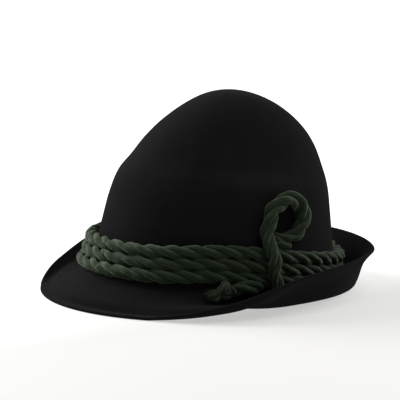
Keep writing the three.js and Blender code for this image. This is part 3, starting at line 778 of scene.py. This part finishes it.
class HAT_OT_felt(bpy.types.Operator):
    """Build the felt crown and brim as one shell"""
    bl_idname = "hat.felt"
    bl_label = "Felt Crown and Brim"

    def execute(self, context):
        felt = context.scene.hat_felt
        outer, inner = felt_faces(felt)
        rings, sectors = outer.shape[:2]
        top = outer[0].mean(0)
        top[2] = felt.height
        inside = inner[0].mean(0)
        inside[2] = felt.height - felt.thickness
        points = np.concatenate([outer.reshape(-1, 3), inner.reshape(-1, 3), [top, inside]])
        points = points + hat_centre(felt)
        second = rings * sectors
        under = strips(rings - 1, sectors, second)[:, ::-1]
        edge = np.arange(sectors)
        following = np.roll(edge, -1)
        last_in = second + (rings - 2) * sectors
        last_out = (rings - 1) * sectors
        seam = np.stack([last_out + edge, last_in + edge, last_in + following, last_out + following], -1)
        tip = fan(edge, second + inner.reshape(-1, 3).shape[0])
        tip_in = fan(edge + second, second + inner.reshape(-1, 3).shape[0] + 1, True)
        make_piece("felt_shell", points, [strips(rings, sectors), under, seam, tip, tip_in],
                   felt_material(felt), ("felt_body",))
        return {'FINISHED'}


class HAT_OT_turns(bpy.types.Operator):
    """Lay the three turns of twisted cord round the crown"""
    bl_idname = "hat.turns"
    bl_label = "Turns of Cord"

    def execute(self, context):
        felt, cord = context.scene.hat_felt, context.scene.hat_cord
        shift = hat_centre(felt)
        for turn, name in enumerate(TURNS):
            line, outward, length = turn_line(turn, felt, cord)
            line = line + shift
            total = np.round(length / cord.lay * 3) / 3
            laid = np.arange(len(line)) / len(line) * total + 0.11 * turn
            radius = np.full(len(line), cord.diameter / 2 * cord.fullness)
            points, faces, fibre = cord_surface(line, outward, laid, radius, True, turn + 1.0)
            wool_piece(name, points, [faces], [fibre], (name.replace("wool", "cord"),))
            if cord.fuzz:
                centre = np.repeat(line, len(points) // len(line), axis=0)
                hair, hair_faces = loose_fibres(points, centre, cord.fuzz, turn + 11)
                hair[:, 2] = np.maximum(hair[:, 2], felt.thickness)
                wool_piece(f"{name}_fuzz", hair, hair_faces, blank_fibre(hair_faces, turn))
        return {'FINISHED'}


class HAT_OT_eye(bpy.types.Operator):
    """Raise the cord's eye and bring its leg down over the turns"""
    bl_idname = "hat.eye"
    bl_label = "Eye and Leg"

    def execute(self, context):
        felt, cord = context.scene.hat_felt, context.scene.hat_cord
        shift = hat_centre(felt)
        guides, outward = beside_eye(*eye_guides(felt, cord), felt, cord)
        radius = cord.diameter / 2 * cord.fullness
        steps = 190
        eye = open_cord(guides + shift, outward, radius, cord.lay, 5.0, steps, EYE_FULLNESS)
        pitch = cord.diameter + cord.clearance
        stub_gap = np.full(len(EYE_STUB), cord.diameter / 2 + cord.clearance)
        stub_guides, stub_out = beside_eye(cord.eye_width * EYE_STUB[:, 0],
                                           top_turn(felt, cord) + pitch * EYE_STUB[:, 1],
                                           stub_gap, felt, cord)
        stub = open_cord(stub_guides + shift, stub_out, radius * 0.84, cord.lay, 6.0, 60)
        points, faces, fibre = joined([eye, stub])
        wool_piece("wool_eye", points, faces, fibre, ("cord_loop",))
        fuzz_on(points[:steps * RING_SIDES], 420, 21, "wool_eye_fuzz")
        return {'FINISHED'}


def fuzz_on(points, count, seed, name):
    """Fuzz on an open cord, from its rings of points."""
    rings = points.reshape(-1, RING_SIDES, 3)
    centre = np.repeat(rings.mean(1), RING_SIDES, axis=0)
    hair, faces = loose_fibres(points, centre, count, seed)
    wool_piece(name, hair, faces, blank_fibre(faces, seed))


class HAT_OT_tail(bpy.types.Operator):
    """Lay the cord's end on the brim with its knot and its frayed end"""
    bl_idname = "hat.tail"
    bl_label = "End, Knot and Fray"

    def execute(self, context):
        felt, cord = context.scene.hat_felt, context.scene.hat_cord
        shift = hat_centre(felt)
        guides, outward = tail_line(felt, cord)
        way = unit(guides[-1] - guides[-2])
        knot_radius = cord.knot_diameter / 2
        knot_centre = guides[-1] + way * (knot_radius + cord.clearance)
        radius = cord.diameter / 2 * cord.fullness
        run = np.concatenate([guides, [guides[-1] + way * knot_radius * 0.6]])
        out = np.concatenate([outward, outward[-1:]])
        steps = 90
        points, faces, fibre = open_cord(
            run + shift, out, radius * 0.97, cord.lay, 7.0, steps, TAIL_FULLNESS)
        wool_piece("wool_tail", points, faces, fibre, ("cord_tail",))
        fuzz_on(points[:steps * RING_SIDES], 160, 31, "wool_tail_fuzz")
        self.knot(knot_centre + shift, way, outward[-1], knot_radius)
        self.fray(cord, knot_centre + shift, way, knot_radius)
        return {'FINISHED'}

    def knot(self, centre, way, outward, knot_radius):
        """Overhand knot: a trefoil, whose two lobes twice round cross three times, filled out."""
        t = np.arange(240) / 240 * 2 * np.pi
        face = unit(outward - (outward @ way) * way)
        side = np.cross(face, way)
        strand = 0.50 * knot_radius
        reach = knot_radius - strand
        flat = np.stack([np.sin(t) + 2 * np.sin(2 * t), np.cos(t) - 2 * np.cos(2 * t)], -1) / 3
        line = (centre + reach * (flat[:, :1] * way + flat[:, 1:] * side)
                - 0.9 * reach * np.sin(3 * t)[:, None] * face)
        length = np.linalg.norm(np.roll(line, -1, axis=0) - line, axis=-1).sum()
        total = np.round(length / 0.026 * 3) / 3
        laid = np.arange(len(t)) / len(t) * total
        out = np.tile(face, (len(t), 1))
        points, faces, fibre = cord_surface(line, out, laid, np.full(len(t), strand), True, 8.0, 36)
        wool_piece("wool_knot", points, [faces], [fibre], ("cord_knot",))

    def fray(self, cord, centre, way, knot_radius):
        """Frayed end: wavy tapering yarns that fan out flat from the knot on to the brim."""
        rng = np.random.default_rng(41)
        count = 26
        forward = unit(way * (1, 1, 0) + np.array([0, 0, -0.30]))
        side = unit(np.cross((0.0, 0.0, 1.0), forward))
        upward = np.cross(forward, side)
        spread = rng.uniform(-1, 1, (count, 1))
        rise = rng.uniform(-1, 1, (count, 1))
        root = centre + forward * knot_radius * 0.55 + side * spread * 0.0034 + upward * rise * 0.0024
        heading = unit(forward + side * spread * 0.24 + upward * rise * 0.16)
        bend = side * rng.normal(0, 0.16, (count, 1)) + upward * rng.normal(-0.04, 0.09, (count, 1))
        length = cord.fray_length * rng.uniform(0.85, 1.2, count)
        yarn = rng.uniform(0.0009, 0.0014, count)
        points, faces = hairs(root, heading, bend, length, yarn, 9, 8)
        loose = 260
        fine = rng.integers(0, count, loose)
        thin, thin_faces = hairs(root[fine] + rng.normal(0, 0.0006, (loose, 3)),
                                 unit(heading[fine] + rng.normal(0, 0.12, (loose, 3))), bend[fine] * 1.6,
                                 length[fine] * rng.uniform(0.9, 1.12, loose),
                                 np.full(loose, 0.00013), 6, 3)
        parts = [(points, faces, blank_fibre(faces, 9)), (thin, thin_faces, blank_fibre(thin_faces, 10))]
        points, faces, fibre = joined(parts)
        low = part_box("cord_fray")[0][2]
        points[:, 2] = np.maximum(points[:, 2], low)
        wool_piece("wool_fray", points, faces, fibre, ("cord_fray",))


class HAT_OT_stage(bpy.types.Operator):
    """Set the camera, the soft lights and the pale floor"""
    bl_idname = "hat.stage"
    bl_label = "Camera, Lights and Floor"

    def execute(self, context):
        scene, stage = context.scene, context.scene.hat_stage
        a, e, roll = stage.azimuth, stage.elevation, stage.roll
        ahead = Vector((-np.sin(a) * np.cos(e), np.cos(a) * np.cos(e), -np.sin(e)))
        right = Vector((np.cos(a), np.sin(a), 0))
        up = right.cross(ahead)
        rolled_right = right * np.cos(roll) + up * np.sin(roll)
        rolled_up = up * np.cos(roll) - right * np.sin(roll)
        middle = Vector((0, stage.middle, 0))
        position = middle - ahead * stage.distance
        aim = middle + rolled_right * stage.aim_right + rolled_up * stage.aim_up
        back = (position - aim).normalized()
        across = (rolled_right - back * rolled_right.dot(back)).normalized()
        lens = bpy.data.cameras.new("Camera")
        lens.lens = stage.lens
        lens.sensor_width = 36.0
        camera = bpy.data.objects.new("Camera", lens)
        upright = back.cross(across)
        turned = Matrix((across, upright, back)).transposed().to_4x4()
        camera.matrix_world = Matrix.Translation(position) @ turned
        scene.collection.objects.link(camera)
        scene.camera = camera
        away = Vector((-np.sin(a), np.cos(a), 0))
        lights = (("Left Light", -1.15, 0.55, 0.75, 1.0, stage.side_light * 2.35),
                  ("Right Light", 1.25, 0.75, 0.70, 1.0, stage.side_light),
                  ("Top Light", 0.45, -0.30, 1.25, 0.7, stage.top_light))
        for name, beside, behind, height, size, power in lights:
            place = right * beside + away * behind + Vector((0, 0, height))
            self.soft_light(scene, name, place, size, power)
        self.room(scene, stage)
        self.floor(scene)
        scene.view_settings.view_transform = 'Standard'
        return {'FINISHED'}

    def soft_light(self, scene, name, position, size, power):
        """A square area light that looks at the hat."""
        light = bpy.data.lights.new(name, 'AREA')
        light.shape = 'SQUARE'
        light.size = size
        light.energy = power
        lamp = bpy.data.objects.new(name, light)
        way = Vector((0, 0, 0.06)) - position
        lamp.matrix_world = Matrix.Translation(position) @ way.to_track_quat('-Z', 'Y').to_matrix().to_4x4()
        scene.collection.objects.link(lamp)

    def room(self, scene, stage):
        """White room: seen as white, and giving a weaker even light."""
        world = bpy.data.worlds.new("Room")
        scene.world = world
        world.use_nodes = True
        nodes, links = world.node_tree.nodes, world.node_tree.links
        background = nodes["Background"]
        background.inputs["Strength"].default_value = stage.fill
        seen = nodes.new("ShaderNodeBackground")
        seen.inputs["Color"].default_value = (1, 1, 1, 1)
        seen.inputs["Strength"].default_value = 1.2
        path = nodes.new("ShaderNodeLightPath")
        blend = nodes.new("ShaderNodeMixShader")
        links.new(path.outputs["Is Camera Ray"], blend.inputs["Fac"])
        links.new(background.outputs["Background"], blend.inputs[1])
        links.new(seen.outputs["Background"], blend.inputs[2])
        links.new(blend.outputs["Shader"], nodes["World Output"].inputs["Surface"])
        background.inputs["Color"].default_value = (1, 1, 1, 1)

    def floor(self, scene):
        """A large pale disc that glows though it is no lamp: its emission is a painted glow, brighter
        towards the left and behind, as an overexposed table is, which also washes out the shade under the
        hat.
        """
        sides = 96
        angle = np.arange(sides) / sides * 2 * np.pi
        ring = np.stack([np.cos(angle), np.sin(angle), 0 * angle], -1)
        points = np.concatenate([[(0, 0, 0)], ring * 0.4, ring * 12]) + (0, 0, -0.0002)
        mesh = bpy.data.meshes.new("floor")
        inner = fan(np.arange(sides) + 1, 0)
        outer = strips(2, sides, 1)
        mesh.from_pydata(points.tolist(), [], inner.tolist() + outer.tolist())
        material, tree, shader, add = node_maker("Pale Floor")
        place = add("ShaderNodeTexCoord").outputs["Object"]
        # Painted light: the floor's emission grows from 0.5 to 1.0 towards the left and behind, a painted
        # glow standing in for the studio light on the table and filling its shadows.
        away = add("ShaderNodeVectorMath", {0: place, 1: (-1.0, 0.06, 0.0)}, operation='DOT_PRODUCT')
        painted_floor_glow = add("ShaderNodeMapRange", {"Value": away.outputs["Value"], "From Min": -0.10,
                                          "From Max": 0.12, "To Min": 0.50, "To Max": 1.0})
        tree.links.new(painted_floor_glow.outputs["Result"], shader.inputs["Emission Strength"])
        shader.inputs["Emission Color"].default_value = (1.0, 0.995, 0.985, 1)
        shader.inputs["Base Color"].default_value = (0.21, 0.208, 0.204, 1)
        shader.inputs["Roughness"].default_value = 0.7
        mesh.materials.append(material)
        disc = bpy.data.objects.new("floor", mesh)
        scene.collection.objects.link(disc)


class HAT_PT_panel(bpy.types.Panel):
    """Lists the pieces of the hat and their sizes"""
    bl_idname = "HAT_PT_panel"
    bl_label = "Felt Hat"
    bl_space_type = 'VIEW_3D'
    bl_region_type = 'UI'
    bl_category = "Hat"

    def draw(self, context):
        for operator in OPERATORS:
            self.layout.operator(operator.bl_idname)
        for group in (context.scene.hat_felt, context.scene.hat_cord, context.scene.hat_stage):
            box = self.layout.box()
            for name in group.__annotations__:
                box.prop(group, name)


OPERATORS = (HAT_OT_felt, HAT_OT_turns, HAT_OT_eye, HAT_OT_tail, HAT_OT_stage)
GROUPS = {"hat_felt": HatFelt, "hat_cord": HatCord, "hat_stage": HatStage}


def register():
    for group in GROUPS.values():
        bpy.utils.register_class(group)
    for name, group in GROUPS.items():
        setattr(bpy.types.Scene, name, PointerProperty(type=group))
    for operator in OPERATORS:
        bpy.utils.register_class(operator)
    bpy.utils.register_class(HAT_PT_panel)


def unregister():
    bpy.utils.unregister_class(HAT_PT_panel)
    for operator in reversed(OPERATORS):
        bpy.utils.unregister_class(operator)
    for name in GROUPS:
        delattr(bpy.types.Scene, name)
    for group in GROUPS.values():
        bpy.utils.unregister_class(group)


def main():
    """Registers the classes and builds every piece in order."""
    register()
    hat = bpy.ops.hat
    for build in (hat.felt, hat.turns, hat.eye, hat.tail, hat.stage):
        if build() != {'FINISHED'}:
            raise RuntimeError("A piece of the hat was not finished")


if __name__ == "__main__":
    main()
